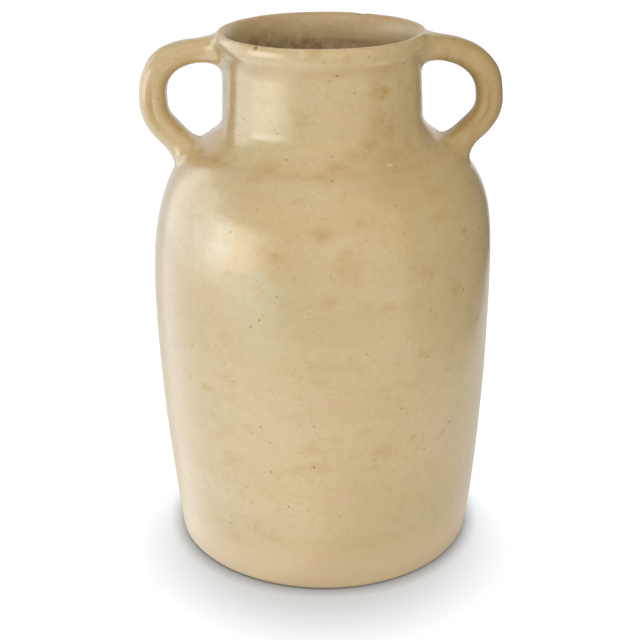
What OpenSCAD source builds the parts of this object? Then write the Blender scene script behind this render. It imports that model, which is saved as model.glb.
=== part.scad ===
// Two-handled jar vase in glazed earthenware, in millimetres, standing on its foot with +Z up.
// The pieces are the ones a potter forms apart and joins while damp: a wall, a floor, a collar,
// a lip, two strap handles and the clay that lutes each handle end. The handles lie along X.

/* [Body] */
// Diameter just above the rounded edge of the foot
foot_d = 176.8; // [150:0.1:200]
// Radius of the rounded edge of the foot
foot_edge_r = 3; // [1.5:0.5:5]
// Width of the flat ring that the vase stands on
foot_ring_w = 9.4; // [6:0.1:12]
// Diameter at the widest part of the belly
belly_d = 193.4; // [165:0.1:235]
// Height of the widest part of the belly
belly_z = 150; // [120:1:180]
// Thickness of the body's wall
wall_t = 7; // [5:0.1:9]

/* [Floor] */
// Thickness of the floor
floor_t = 8.5; // [6:0.1:11]
// How far the underside of the floor is lifted off the table
floor_lift = 1.5; // [0.5:0.1:3]
// Width of the rebate that holds the floor's edge
rebate_w = 6; // [4:0.1:8]
// Height of the rebate above the underside of the floor
rebate_h = 4; // [3:0.1:5]
// Radius of the inside corner between wall and floor
floor_corner_r = 9; // [5:0.5:12]

/* [Shoulder seam] */
// Height of the seam between the body and the collar
seam_z = 238.5; // [200:0.5:290]
// Slope of the shoulder at the seam, in degrees from level
shoulder_slope = 33.6; // [28:0.1:40]
// How far the belly's upright line carries up into the shoulder
shoulder_pull = 49; // [40:1:60]
// How far the seam's slope carries down into the shoulder
shoulder_run = 27; // [18:1:32]
// Width of the key that locates the collar on the body
key_w = 3; // [2:0.1:3.6]
// Depth of that key
key_d = 2; // [1:0.1:3]

/* [Neck] */
// Height of the collar between the seam and the underside of the lip
neck_h = 51.8; // [44:0.1:66]
// Diameter of the neck under the lip
neck_d = 108.4; // [90:0.1:120]
// How much further out the neck's face lies at its base
neck_taper = 1.2; // [0.5:0.1:2]
// Thickness of the neck's wall under the lip, outside its round bore
neck_t = 6; // [5:0.1:8]
// Height of the hollow curve between the seam and the neck
flare_h = 17.9; // [15:0.1:22]
// Width of that curve
flare_w = 14.3; // [11.5:0.1:17.5]
// How far the seam's slope carries up into that curve
flare_run = 11; // [8:0.5:13]
// How far the neck's upright line carries down into that curve
flare_drop = 9; // [6:0.5:11]

/* [Lip] */
// Height of the lip
lip_h = 9.7; // [8:0.1:12]
// How far the lip stands out from the neck
lip_out = 3.4; // [2.6:0.1:4.6]
// How far the crest of the lip lies out from the neck's outer face
crest_out = 1.2; // [0.5:0.1:2]
// Height of the crest above the widest part of the lip
lip_crown = 4.5; // [3.5:0.1:5.5]
// Thickness of the lip over the top edge of the collar
lip_cover = 5.5; // [4.5:0.1:6.5]
// Width of the step under the lip
lip_step = 0.6; // [0.4:0.1:1.2]
// Height of the rounding inside the mouth, from the straight bore up to the crest
mouth_h = 16; // [10:0.5:24]

/* [Handles] */
// Thickness of the strap, seen from the front
handle_t = 15.4; // [12:0.1:18.5]
// Width of the strap from front to back
handle_w = 19; // [15:0.1:23]
// Clear gap between the neck and the bow of the handle
finger_gap = 30.7; // [24:0.1:38]
// Depth of the strap's upper end below the crest of the lip
handle_drop = 9.6; // [9:0.1:12]
// Depth of the bow's outermost point below the strap's upper end
bow_drop = 28.2; // [23:0.1:34]
// Distance of the strap's lower end from the seam, down the shoulder
root_out = 6.8; // [5:0.1:9]
// How far the strap runs straight out from the neck
upper_run = 30; // [24:1:36]
// How far the bow's upright line carries up towards the neck
upper_turn = 16.8; // [12:0.1:20]
// How far the bow's upright line carries down towards the shoulder
lower_turn = 13.4; // [10:0.1:16]
// How far the strap runs straight up from the shoulder
lower_run = 11.6; // [8:0.1:14]

/* [Luting] */
// How far the luting reaches along the strap
luting_len = 8; // [6:0.5:10]
// How far the luting spreads where it meets the wall
luting_spread = 4.5; // [3:0.1:6]
// The same on top of the upper end, under the crest
luting_over = 1.4; // [1:0.1:1.6]
// Thickness of its outer edge on the strap
luting_edge = 0.7; // [0.6:0.1:1]

/* [Hidden] */
$fn = 180;

wall_steps = 14;
shoulder_steps = 16;
flare_steps = 12;
arc_steps = 8;
strap_sides = 24;
upper_steps = 24;
lower_steps = 18;
strap_squareness = 2.5;
root_depth = 6;

foot_r = foot_d / 2;
belly_r = belly_d / 2;
neck_r = neck_d / 2;
bore_r = neck_r - neck_t;
neck_base_r = neck_r + neck_taper;
rebate_r = foot_r - foot_edge_r - foot_ring_w;
plug_r = rebate_r - rebate_w;
rebate_top = floor_lift + rebate_h;
floor_top = floor_lift + floor_t;
lip_z = seam_z + neck_h;
vase_h = lip_z + lip_h;
collar_top = vase_h - lip_cover;
crest_r = neck_r + crest_out;
lip_r = neck_r + lip_out;

// Directions on the shoulder at the seam: down the slope, and square out of the clay
down_slope = [cos(shoulder_slope), -sin(shoulder_slope)];
square_out = [sin(shoulder_slope), cos(shoulder_slope)];
seam = [neck_base_r + flare_w, seam_z];

function reverse(list) = [for (i = [len(list) - 1:-1:0]) list[i]];
function unit(v) = v / norm(v);
function bezier(p, t) =
    (1 - t) ^ 3 * p[0] + 3 * t * (1 - t) ^ 2 * p[1] + 3 * t ^ 2 * (1 - t) * p[2] + t ^ 3 * p[3];
function bezier_slope(p, t) =
    (1 - t) ^ 2 * (p[1] - p[0]) + 2 * t * (1 - t) * (p[2] - p[1]) + t ^ 2 * (p[3] - p[2]);
function curve(p, steps) = [for (i = [0:steps]) bezier(p, i / steps)];
function arc(centre, rx, rz, from, to) = [
    for (i = [0:arc_steps])
        let (a = from + (to - from) * i / arc_steps) centre + [rx * cos(a), rz * sin(a)]
];

// The inner face of a wall whose thickness goes evenly from t0 to t1 along its outer curve
function inner_curve(p, steps, t0, t1) = [
    for (i = [0:steps])
        let (s = unit(bezier_slope(p, i / steps)), t = t0 + (t1 - t0) * i / steps)
            bezier(p, i / steps) - t * [s.y, -s.x]
];

// Outer radius of the body below its widest part, a parabola upright at the belly
function wall_r(z) = belly_r - (belly_r - foot_r) * ((belly_z - z) / (belly_z - foot_edge_r)) ^ 2;
function wall_line(inset, from, to) =
    [for (i = [0:wall_steps]) let (z = from + (to - from) * i / wall_steps) [wall_r(z) - inset, z]];

foot_edge = arc([foot_r - foot_edge_r, foot_edge_r], foot_edge_r, foot_edge_r, -90, 0);
shoulder = [
    [belly_r, belly_z], [belly_r, belly_z + shoulder_pull], seam + shoulder_run * down_slope, seam,
];
neck_base = [neck_base_r, seam_z + flare_h];
flare = [seam, seam - flare_run * down_slope, neck_base - [0, flare_drop], neck_base];

// Outer faces from the foot to the seam, from the seam to the lip, and round the lip to its crest
body_outer = concat(foot_edge, wall_line(0, foot_edge_r, belly_z), curve(shoulder, shoulder_steps));
collar_outer = concat(curve(flare, flare_steps), [[neck_r, lip_z]]);
lip_widest_z = vase_h - lip_crown;
lip_outer = concat(
    arc([neck_r + lip_step, lip_widest_z], lip_out - lip_step, lip_widest_z - lip_z, -90, 0),
    arc([crest_r, lip_widest_z], lip_r - crest_r, lip_crown, 0, 90)
);

// Inner face of the mouth between two angles: the crest is at 90, the bore at 180, and the lip hands
// over to the collar at mouth_turn
function mouth_curve(from, to) =
    arc([crest_r, vase_h - mouth_h], crest_r - bore_r, mouth_h, from, to);
mouth_turn = 180 - asin(1 - lip_cover / mouth_h);

// The seam's face from outside to inside: a key on the collar sits in a groove in the body
function across_seam(depth) = seam - depth * square_out;
seam_face = [
    across_seam((wall_t - key_w) / 2),
    across_seam(wall_t / 2) + key_d * down_slope,
    across_seam((wall_t + key_w) / 2),
];

module turned(outline) {
    rotate_extrude() polygon(outline);
}

module floor_disc() {
    color("#C9B48C") turned([
        [0, floor_lift], [rebate_r, floor_lift], [rebate_r, rebate_top],
        [plug_r, rebate_top], [plug_r, floor_top], [0, floor_top],
    ]);
}

module body_wall() {
    corner_z = floor_top + floor_corner_r;
    corner = [wall_r(corner_z) - wall_t - floor_corner_r, corner_z];
    color("#CDB98B") turned(concat(
        body_outer,
        seam_face,
        reverse(inner_curve(shoulder, shoulder_steps, wall_t, wall_t)),
        wall_line(wall_t, belly_z, corner_z),
        arc(corner, floor_corner_r, floor_corner_r, 0, -90),
        [[plug_r, floor_top], [plug_r, rebate_top], [rebate_r, rebate_top], [rebate_r, 0]]
    ));
}

module neck_collar() {
    color("#D3C198") turned(concat(
        seam_face,
        inner_curve(flare, flare_steps, wall_t, neck_base_r - bore_r),
        mouth_curve(180, mouth_turn),
        [[neck_r, collar_top]],
        reverse(collar_outer)
    ));
}

module rolled_lip() {
    color("#D8C79F") turned(concat(
        lip_outer,
        mouth_curve(90, mouth_turn),
        [[neck_r, collar_top], [neck_r, lip_z]]
    ));
}

// Everything inside the outer faces, which the handles and their luting are cut to
module outer_body() {
    turned(concat([[0, 0]], body_outer, collar_outer, lip_outer, [[0, vase_h]]));
}

// Centre line of the right strap in X and Z, from inside the neck to inside the shoulder
upper_root = [neck_r, vase_h - handle_drop];
bow = [neck_r + finger_gap + handle_t / 2, vase_h - handle_drop - bow_drop];
lower_root = seam + root_out * down_slope;
upper_bend = [upper_root, upper_root + [upper_run, 0], bow + [0, upper_turn], bow];
lower_bend = [bow, bow - [0, lower_turn], lower_root + lower_run * square_out, lower_root];
strap_line = concat(
    [upper_root - [root_depth, 0]],
    curve(upper_bend, upper_steps),
    [for (i = [1:lower_steps]) bezier(lower_bend, i / lower_steps)],
    [lower_root - root_depth * square_out]
);
last = len(strap_line) - 1;

// Distance of a ring of the strap from the wall at its upper or lower end
function upper_gap(i) = strap_line[i].x - lip_r;
function lower_gap(i) = (strap_line[i] - lower_root) * square_out;

// A rounded strap section: cosine or sine drawn out towards a rectangle
function squared(v) = sign(v) * abs(v) ^ (2 / strap_squareness);

// One ring round the strap, grown by spread, or by over on its outer side
function ring(i, spread = 0, over = 0) =
    let (
        along = unit(strap_line[min(i + 1, last)] - strap_line[max(i - 1, 0)]),
        outward = [-along.y, along.x]
    )
    [
        for (k = [0:strap_sides - 1])
            let (
                a = 360 * k / strap_sides,
                grow = spread + (over - spread) * max(0, cos(a)),
                p = strap_line[i] + (handle_t / 2 * squared(cos(a)) + grow * cos(a)) * outward
            )
            [p.x, handle_w / 2 * squared(sin(a)) + grow * sin(a), p.y]
    ];

// Triangles between ring number a and ring number b, each of strap_sides points
function band(a, b) = [
    for (k = [0:strap_sides - 1])
        let (n = (k + 1) % strap_sides, p = a * strap_sides, q = b * strap_sides)
            each [[p + k, q + k, q + n], [p + k, q + n, p + n]]
];

module strap() {
    ends = [
        [for (k = [0:strap_sides - 1]) k],
        [for (k = [strap_sides - 1:-1:0]) last * strap_sides + k],
    ];
    difference() {
        polyhedron(
            points = [for (i = [0:last]) each ring(i)],
            faces = concat(ends, [for (i = [0:last - 1]) each band(i, i + 1)])
        );
        outer_body();
    }
}

// Clay worked round a handle end: a sleeve on the strap's own rings that flares out to the wall.
// Rings and gaps are listed from inside the wall outwards.
module luting(rings, gaps, over, flip) {
    count = len(rings);
    fade = [for (g = gaps) (1 - max(0, g) / luting_len) ^ 2];
    outer = [
        for (i = [0:count - 1])
            each ring(rings[i], luting_edge + (luting_spread - luting_edge) * fade[i],
                luting_edge + (over - luting_edge) * fade[i])
    ];
    inner = [for (i = [count - 1:-1:0]) each ring(rings[i])];
    loop = [for (i = [0:2 * count - 1]) each band(i, (i + 1) % (2 * count))];
    difference() {
        polyhedron(points = concat(outer, inner), faces = flip ? [for (f = loop) reverse(f)] : loop);
        outer_body();
    }
}

module upper_luting() {
    rings = [for (i = [0:upper_steps]) if (upper_gap(i) <= luting_len) i];
    luting(rings, [for (i = rings) upper_gap(i)], luting_over, false);
}

module lower_luting() {
    rings = [for (i = [last:-1:upper_steps + 2]) if (lower_gap(i) <= luting_len) i];
    luting(rings, [for (i = rings) lower_gap(i)], luting_spread, true);
}

module right_handle() { color("#C6AF7C") strap(); }
module left_handle() { color("#C6AF7C") mirror([1, 0, 0]) strap(); }
module right_upper_luting() { color("#CFBE94") upper_luting(); }
module right_lower_luting() { color("#CFBE94") lower_luting(); }
module left_upper_luting() { color("#CFBE94") mirror([1, 0, 0]) upper_luting(); }
module left_lower_luting() { color("#CFBE94") mirror([1, 0, 0]) lower_luting(); }

floor_disc();
body_wall();
neck_collar();
rolled_lip();
left_handle();
right_handle();
left_upper_luting();
left_lower_luting();
right_upper_luting();
right_lower_luting();
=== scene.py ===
# Two-handled storage vase in sand glaze, put together in the order in which a potter builds it
import math

import bmesh
import bpy
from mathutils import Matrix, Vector, noise


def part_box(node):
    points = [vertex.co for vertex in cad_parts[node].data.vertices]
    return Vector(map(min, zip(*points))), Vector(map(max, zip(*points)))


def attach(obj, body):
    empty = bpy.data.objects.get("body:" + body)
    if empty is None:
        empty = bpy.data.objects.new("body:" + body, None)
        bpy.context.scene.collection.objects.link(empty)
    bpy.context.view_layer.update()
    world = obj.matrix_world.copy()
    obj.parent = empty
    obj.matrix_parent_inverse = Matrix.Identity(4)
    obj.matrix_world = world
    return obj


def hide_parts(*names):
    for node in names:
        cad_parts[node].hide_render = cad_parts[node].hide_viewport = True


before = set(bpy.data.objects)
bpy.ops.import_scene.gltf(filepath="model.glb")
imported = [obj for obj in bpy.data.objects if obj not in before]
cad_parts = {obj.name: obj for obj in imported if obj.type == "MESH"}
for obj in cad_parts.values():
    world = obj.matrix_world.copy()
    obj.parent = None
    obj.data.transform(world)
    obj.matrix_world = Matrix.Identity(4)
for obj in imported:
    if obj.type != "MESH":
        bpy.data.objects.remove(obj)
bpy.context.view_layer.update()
scene = bpy.context.scene

# Viewpoint
# A short telephoto lens a little above the rim, tipped down by 23 degrees and almost square
# to the plane of the two handles.


def put(name, data):
    """Makes an object of some data and puts it in the scene."""
    made = bpy.data.objects.new(name, data)
    scene.collection.objects.link(made)
    return made


lens = bpy.data.cameras.new("viewpoint")
lens.sensor_width = 36
lens.lens = 71.25
viewpoint = put("viewpoint", lens)
viewpoint.location = (-0.0016, -0.6896, 0.4247)
viewpoint.rotation_euler = (math.radians(66.813), 0, 0)
scene.camera = viewpoint
scene.view_settings.view_transform = "Standard"

# Floor disc
# The slab of clay that closes the bottom: a flat plug with a wider step under it, pressed up into
# the foot. It stays bare clay below, and the thin brown glaze poured round the inside covers its top.
mm = 0.001
wheel_r = 50 * mm
step_h = 4 * mm
step_w = 6 * mm
weld = 1e-6
crisp_edge = math.radians(38)
disc_low, disc_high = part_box("floor_disc")
rebate_r = disc_high.x
rebate_top = disc_low.z + step_h
plug_r = rebate_r - step_w
pieces = []


def straight(a, b, step):
    """Points from a towards b, without b itself, so that runs can follow each other."""
    count = max(1, round((b - a).length / step))
    return [a.lerp(b, i / count) for i in range(count)]


def near(points, reach, *places):
    """How close each point of a section is to the nearest of some places on it, from 0 to 1."""
    return [max(0.0, 1 - min((p - place).length for place in places) / reach) for p in points]


def sketch(name, points, edges=(), faces=(), **zones):
    """A mesh object, with a value for each of its points in some named zones."""
    mesh = bpy.data.meshes.new(name)
    mesh.from_pydata(points, edges, faces)
    for zone, values in zones.items():
        mesh.attributes.new(zone, "FLOAT", "POINT").data.foreach_set("value", values)
    return put(name, mesh)


def points_of(runs):
    """All the points of a section's runs, one after the other."""
    return [p for run, side in runs for p in run]


def section(name, runs, closed=True, **zones):
    """An edge loop of a turned wall, drawn for a wheel path, with the zones of its surface."""
    points = points_of(runs)
    edges = [(i, i + 1) for i in range(len(points) - 1)]
    if closed:
        edges.append((len(points) - 1, 0))
    zones["inside"] = [side for run, side in runs for p in run]
    return sketch(name, [(p.x - wheel_r, -p.y, 0) for p in points], edges, **zones)


def linear(colour):
    """A hex sRGB colour as linear red, green, blue and alpha."""
    values = [int(colour[i:i + 2], 16) / 255 for i in (1, 3, 5)]
    return [v / 12.92 if v <= 0.04045 else ((v + 0.055) / 1.055) ** 2.4 for v in values] + [1.0]


def add_node(tree, kind, inputs=None, **settings):
    """Adds one node with its settings; an input is a constant, an output, or a node for its first output."""
    made = tree.nodes.new(kind)
    for name, value in settings.items():
        setattr(made, name, value)
    for key, value in (inputs or {}).items():
        if isinstance(value, bpy.types.Node):
            value = value.outputs[0]
        if isinstance(value, bpy.types.NodeSocket):
            tree.links.new(value, made.inputs[key])
        else:
            made.inputs[key].default_value = value
    return made


def start_tree(name, sockets):
    """A geometry tree with named inputs for a piece's sizes, and the outputs that give them."""
    tree = bpy.data.node_groups.new(name, "GeometryNodeTree")
    for label, kind, value in sockets:
        socket = tree.interface.new_socket(label, in_out="INPUT", socket_type="NodeSocket" + kind)
        if value is not None:
            socket.default_value = value
    tree.interface.new_socket("Piece", in_out="OUTPUT", socket_type="NodeSocketGeometry")
    return tree, add_node(tree, "NodeGroupInput").outputs


def end_tree(tree, shaped, zones, move, finish):
    """Stores the zones of a shape, presses it, and makes it one real mesh in its finish."""
    for zone, value in zones.items():
        shaped = add_node(tree, "GeometryNodeStoreNamedAttribute",
                          {"Geometry": shaped, "Name": zone, "Value": value},
                          data_type="FLOAT", domain="POINT")
    pressed = add_node(tree, "GeometryNodeSetPosition", {"Geometry": shaped, "Offset": move})
    single = add_node(tree, "GeometryNodeRealizeInstances", {"Geometry": pressed})
    coated = add_node(tree, "GeometryNodeSetMaterial", {"Geometry": single, "Material": finish})
    add_node(tree, "NodeGroupOutput", {"Piece": coated})


# The tree spins a section round the wheel's axis, raises throwing rings everywhere but at the joints,
# where the pieces meet, and bites the chips and smears of the marks into it
turning, given = start_tree("wheel_turned", (
    ("Section", "Geometry", None),
    ("Around", "Int", 240),
    ("Wheel Radius", "Float", wheel_r),
    ("Ring Pitch", "Float", 8 * mm),
    ("Inner Ring", "Float", 0.35 * mm),
    ("Outer Ring", "Float", 0.06 * mm),
    ("Marks", "Object", None),
    ("Finish", "Material", None),
))
# What each mark says; the last four are shares that the glaze reads
traits = ("reach", "flat", "bite", "chip", "smear", "pale", "pool")
zone_of = {}
for zone in ("inside", "held", "joint") + traits:
    zone_of[zone] = add_node(turning, "GeometryNodeInputNamedAttribute", {"Name": zone}, data_type="FLOAT")
outline = add_node(turning, "GeometryNodeMeshToCurve", {"Mesh": given["Section"]})
wheel = add_node(turning, "GeometryNodeCurvePrimitiveCircle",
                 {"Resolution": given["Around"], "Radius": given["Wheel Radius"]})
spun = add_node(turning, "GeometryNodeCurveToMesh", {"Curve": wheel, "Profile Curve": outline})
faced = add_node(turning, "GeometryNodeFlipFaces", {"Mesh": spun})
welded = add_node(turning, "GeometryNodeMergeByDistance", {"Geometry": faced, "Distance": weld})
where = add_node(turning, "GeometryNodeInputPosition")
facing = add_node(turning, "GeometryNodeInputNormal")
axes = add_node(turning, "ShaderNodeSeparateXYZ", {0: where}).outputs
level = add_node(turning, "ShaderNodeVectorMath", {0: where, 1: (1, 1, 0)}, operation="MULTIPLY")
radius = add_node(turning, "ShaderNodeVectorMath", {0: level}, operation="LENGTH").outputs["Value"]
travel = add_node(turning, "ShaderNodeMath", {0: axes["Z"], 1: radius}, operation="SUBTRACT")
rise = add_node(turning, "ShaderNodeMath", {0: travel, 1: given["Ring Pitch"]}, operation="DIVIDE")
round_x = add_node(turning, "ShaderNodeMath", {0: axes["X"], 1: 9.0}, operation="MULTIPLY")
round_y = add_node(turning, "ShaderNodeMath", {0: axes["Y"], 1: 9.0}, operation="MULTIPLY")
spiral = add_node(turning, "ShaderNodeCombineXYZ", {"X": round_x, "Y": round_y, "Z": rise})
rings = add_node(turning, "ShaderNodeTexNoise",
                 {"Vector": spiral, "Scale": 1.0, "Detail": 1.5, "Roughness": 0.5})
ring_depth = add_node(turning, "ShaderNodeMapRange",
                      {"Value": zone_of["inside"], "To Min": given["Outer Ring"],
                       "To Max": given["Inner Ring"]})
swing = add_node(turning, "ShaderNodeMapRange", {"Value": rings, "To Min": -2.0, "To Max": 2.0})
free = add_node(turning, "ShaderNodeMath", {0: 1.0, 1: zone_of["held"]}, operation="SUBTRACT")
ring_size = add_node(turning, "ShaderNodeMath", {0: swing, 1: ring_depth}, operation="MULTIPLY")
ring_move = add_node(turning, "ShaderNodeMath", {0: ring_size, 1: free}, operation="MULTIPLY")
patchy = add_node(turning, "ShaderNodeTexNoise", {"Vector": where, "Scale": 17.0, "Detail": 1.0})
open_joint = add_node(turning, "ShaderNodeMapRange", {"Value": patchy, "From Min": 0.36, "From Max": 0.62},
                      interpolation_type="SMOOTHSTEP")
joint_share = add_node(turning, "ShaderNodeMath", {0: zone_of["joint"], 1: open_joint}, operation="MULTIPLY")
marks = add_node(turning, "GeometryNodeObjectInfo", {"Object": given["Marks"]},
                 transform_space="RELATIVE").outputs["Geometry"]
closest = add_node(turning, "GeometryNodeSampleNearest", {"Geometry": marks}, domain="POINT")
mark = {}
for trait in traits:
    mark[trait] = add_node(turning, "GeometryNodeSampleIndex",
                           {"Geometry": marks, "Value": zone_of[trait], "Index": closest},
                           data_type="FLOAT", domain="POINT")
mark_place = add_node(turning, "GeometryNodeSampleIndex",
                      {"Geometry": marks, "Value": where, "Index": closest},
                      data_type="FLOAT_VECTOR", domain="POINT")
away = add_node(turning, "ShaderNodeVectorMath", {0: where, 1: mark_place}, operation="SUBTRACT")
squash = add_node(turning, "ShaderNodeCombineXYZ", {"X": 1.0, "Y": 1.0, "Z": mark["flat"]})
flat_away = add_node(turning, "ShaderNodeVectorMath", {0: away, 1: squash}, operation="MULTIPLY")
gap = add_node(turning, "ShaderNodeVectorMath", {0: flat_away}, operation="LENGTH").outputs["Value"]
gap_share = add_node(turning, "ShaderNodeMath", {0: gap, 1: mark["reach"]}, operation="DIVIDE")
ragged = add_node(turning, "ShaderNodeTexNoise", {"Vector": where, "Scale": 260.0, "Detail": 2.0})
ragged_gap = add_node(turning, "ShaderNodeMath", {0: gap_share, 1: ragged}, operation="ADD")
touch = add_node(turning, "ShaderNodeMapRange", {"Value": ragged_gap, "From Min": 1.5, "From Max": 0.6},
                 interpolation_type="SMOOTHSTEP")
bite = add_node(turning, "ShaderNodeMath", {0: touch, 1: mark["bite"]}, operation="MULTIPLY")
depth = add_node(turning, "ShaderNodeMath", {0: ring_move, 1: bite}, operation="SUBTRACT")
move = add_node(turning, "ShaderNodeVectorMath", {0: facing, "Scale": depth}, operation="SCALE")
shares = {}
for trait in traits[-4:]:
    shares[trait] = add_node(turning, "ShaderNodeMath", {0: touch, 1: mark[trait]}, operation="MULTIPLY")
shares["joint"] = joint_share
end_tree(turning, welded, shares, move, given["Finish"])

leans = (
    # how far the pot leans to the right, at what height and over what height, in mm
    (0.95, 20, 50),
    (-0.4, 148, 38),
    (1.2, 213, 24),
    (-0.5, 272, 30),
    (-0.8, 296, 16),
)
# Heights in mm where the rim's tilt begins and over which it grows, and its slope
tilt_from, tilt_over, rim_tilt = 222, 38, 0.009
body_waver, rim_waver = 0.25 * mm, 0.3 * mm
# A fixed seed, so that every run gives the same waver
noise.seed_set(11)


def hand_waver(p):
    """Where the hand-built pot really stands: off-centre throwing, a rim that leans, a soft waver."""
    lean = sum(far * math.exp(-((p.z / mm - middle) / width) ** 2) for far, middle, width in leans)
    rise = min(1.0, max(0.0, (p.z / mm - tilt_from) / tilt_over))
    tilt = rim_tilt * p.x * rise * rise * (3 - 2 * rise)
    soft = noise.noise_vector(p * 9.0 + Vector((3.1, 7.7, 1.3))) * body_waver
    rim = noise.noise(Vector((p.x * 30, p.y * 30, 5.2))) * rim_waver * rise
    return p + Vector((lean * mm + soft.x, soft.y, tilt + rim))


def fire(rough, name, node):
    """Turns a modelled piece into its finished mesh and puts it in the place of its CAD node."""
    built = rough.evaluated_get(bpy.context.evaluated_depsgraph_get())
    mesh = bpy.data.meshes.new_from_object(built)
    mesh.name = name
    bpy.data.objects.remove(rough)
    form = bmesh.new()
    form.from_mesh(mesh)
    for corner in form.verts:
        corner.co = hand_waver(corner.co)
    bmesh.ops.recalc_face_normals(form, faces=form.faces)
    for face in form.faces:
        face.smooth = True
    for edge in form.edges:
        edge.smooth = edge.calc_face_angle(0.0) < crisp_edge
    form.to_mesh(mesh)
    form.free()
    piece = put(name, mesh)
    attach(piece, "root")
    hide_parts(node)
    pieces.append(piece)


def model(drawn, tree, name, node, settings):
    """Runs a drawn line through a tree with a piece's settings, and fires it."""
    making = drawn.modifiers.new(tree.name, "NODES")
    making.node_group = tree
    knobs = {socket.name: socket.identifier for socket in tree.interface.items_tree}
    for label, value in settings.items():
        making[knobs[label]] = value
    fire(drawn, name, node)


def clean_tree(owner):
    """The node tree of a material, a world or a lamp, emptied."""
    owner.use_nodes = True
    owner.node_tree.nodes.clear()
    return owner.node_tree


def start_finish(name):
    """A new material, its empty tree, and the place on the piece in millimetres."""
    finish = bpy.data.materials.new(name)
    tree = clean_tree(finish)
    spot = add_node(tree, "ShaderNodeTexCoord").outputs["Object"]
    return finish, tree, add_node(tree, "ShaderNodeVectorMath", {0: spot, "Scale": 1 / mm}, operation="SCALE")


# Bare earthenware: low-fired clay, scraped and left rough, so it is matt, warm and flecked with
# grit; its top face takes the brown wash of the inside
clay, shade, in_mm = start_finish("bare_earthenware")
high = add_node(shade, "ShaderNodeSeparateXYZ", {0: in_mm}).outputs["Z"]
mottle = add_node(shade, "ShaderNodeTexNoise", {"Vector": in_mm, "Scale": 1 / 14, "Detail": 4.0})
grit = add_node(shade, "ShaderNodeTexVoronoi", {"Vector": in_mm, "Scale": 1 / 2.4})
grit_spot = add_node(shade, "ShaderNodeMapRange", {"Value": grit, "From Min": 0.22, "From Max": 0.14})
wash = add_node(shade, "ShaderNodeMapRange", {"Value": high, "From Min": 8.5, "From Max": 9.4})
colour = linear("#C9A97E")
for share, tone in ((mottle, "#B8946A"), (grit_spot, "#7C5F41"), (wash, "#94784F")):
    colour = add_node(shade, "ShaderNodeMix", {0: share, 6: colour, 7: linear(tone)},
                      data_type="RGBA").outputs[2]
dull = add_node(shade, "ShaderNodeMapRange", {"Value": wash, "To Min": 0.86, "To Max": 0.42})
tooth = add_node(shade, "ShaderNodeTexNoise", {"Vector": in_mm, "Scale": 1 / 1.1, "Detail": 3.0})
rough_clay = add_node(shade, "ShaderNodeBump", {"Height": tooth, "Distance": 0.25 * mm, "Strength": 0.6})
surface = add_node(shade, "ShaderNodeBsdfPrincipled",
                   {"Base Color": colour, "Roughness": dull, "IOR": 1.5, "Normal": rough_clay})
add_node(shade, "ShaderNodeOutputMaterial", {"Surface": surface})

disc_foot = Vector((0, disc_low.z))
disc_rim = Vector((rebate_r, disc_low.z))
disc_step = Vector((rebate_r, rebate_top))
plug_foot = Vector((plug_r, rebate_top))
plug_top = Vector((plug_r, disc_high.z))
disc_eye = Vector((0, disc_high.z))
disc_section = section("disc_section", (
    (straight(disc_foot, disc_rim, 3 * mm), 0.0),
    (straight(disc_rim, disc_step, 2 * mm), 0.0),
    (straight(disc_step, plug_foot, 2 * mm), 0.0),
    (straight(plug_foot, plug_top, 1.5 * mm), 0.0),
    (straight(plug_top, disc_eye, 2 * mm) + [disc_eye], 1.0),
), closed=False)
model(disc_section, turning, "pressed_floor", "floor_disc",
      {"Around": 160, "Outer Ring": 0.0, "Finish": clay})

# Body wall
# The main pot, thrown in one piece: a foot ring, a belly widest half way up, and a round shoulder
# that comes in to the seam where the separately thrown neck is joined on.
body_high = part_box("body_wall")[1]
belly_r = body_high.x
seam_z = body_high.z
seam_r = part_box("neck_collar")[1].x
foot_r = 88.4 * mm
foot_edge = 3 * mm
belly_z = 150 * mm
wall_t = 7 * mm
corner_r = 9 * mm
key_depth = 2 * mm
shoulder_pull = 49 * mm
shoulder_run = 27 * mm
shoulder_slope = math.radians(33.6)
down_slope = Vector((math.cos(shoulder_slope), -math.sin(shoulder_slope)))
square_out = Vector((math.sin(shoulder_slope), math.cos(shoulder_slope)))
seam = Vector((seam_r, seam_z))
belly = Vector((belly_r, belly_z))
seam_dip = 0.3 * mm
finger_r = 4 * mm
held_r = 7 * mm


def bend(a, b, c, d, step, begin=0.0, end=1.0):
    """Points on a cubic curve, from one share of its length to another, without the last."""
    def at(t):
        s = 1 - t
        return a * s ** 3 + b * (3 * s * s * t) + c * (3 * s * t * t) + d * t ** 3
    count = max(2, round((at(end) - at(begin)).length / step))
    return [at(begin + (end - begin) * i / count) for i in range(count)]


def quarter(centre, start, end, step, begin=0.0, finish=1.0):
    """A quarter of an ellipse, or a share of it, without its last point."""
    count = max(3, round((end - start).length * 1.12 * (finish - begin) / step))
    turns = [(begin + (finish - begin) * i / count) * math.pi / 2 for i in range(count)]
    return [centre + (start - centre) * math.cos(a) + (end - centre) * math.sin(a) for a in turns]


def inner_face(points, thick):
    """The other face of a wall: each point moved in square to the wall, in the other order."""
    moved = []
    for before, here, after in zip([points[0]] + points[:-1], points, points[1:] + [points[-1]]):
        along = (after - before).normalized()
        moved.append(here + Vector((-along.y, along.x)) * thick)
    return moved[::-1]


def belly_line(z):
    """A point of the body's outer face between the foot and the belly."""
    return Vector((belly_r - (belly_r - foot_r) * ((belly_z - z) / (belly_z - foot_edge)) ** 2, z))


def hollow(points):
    """The shallow hollow that a wet finger leaves all along the seam."""
    return [p - square_out * seam_dip * math.exp(-((p - seam).length / finger_r) ** 2) for p in points]


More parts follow.
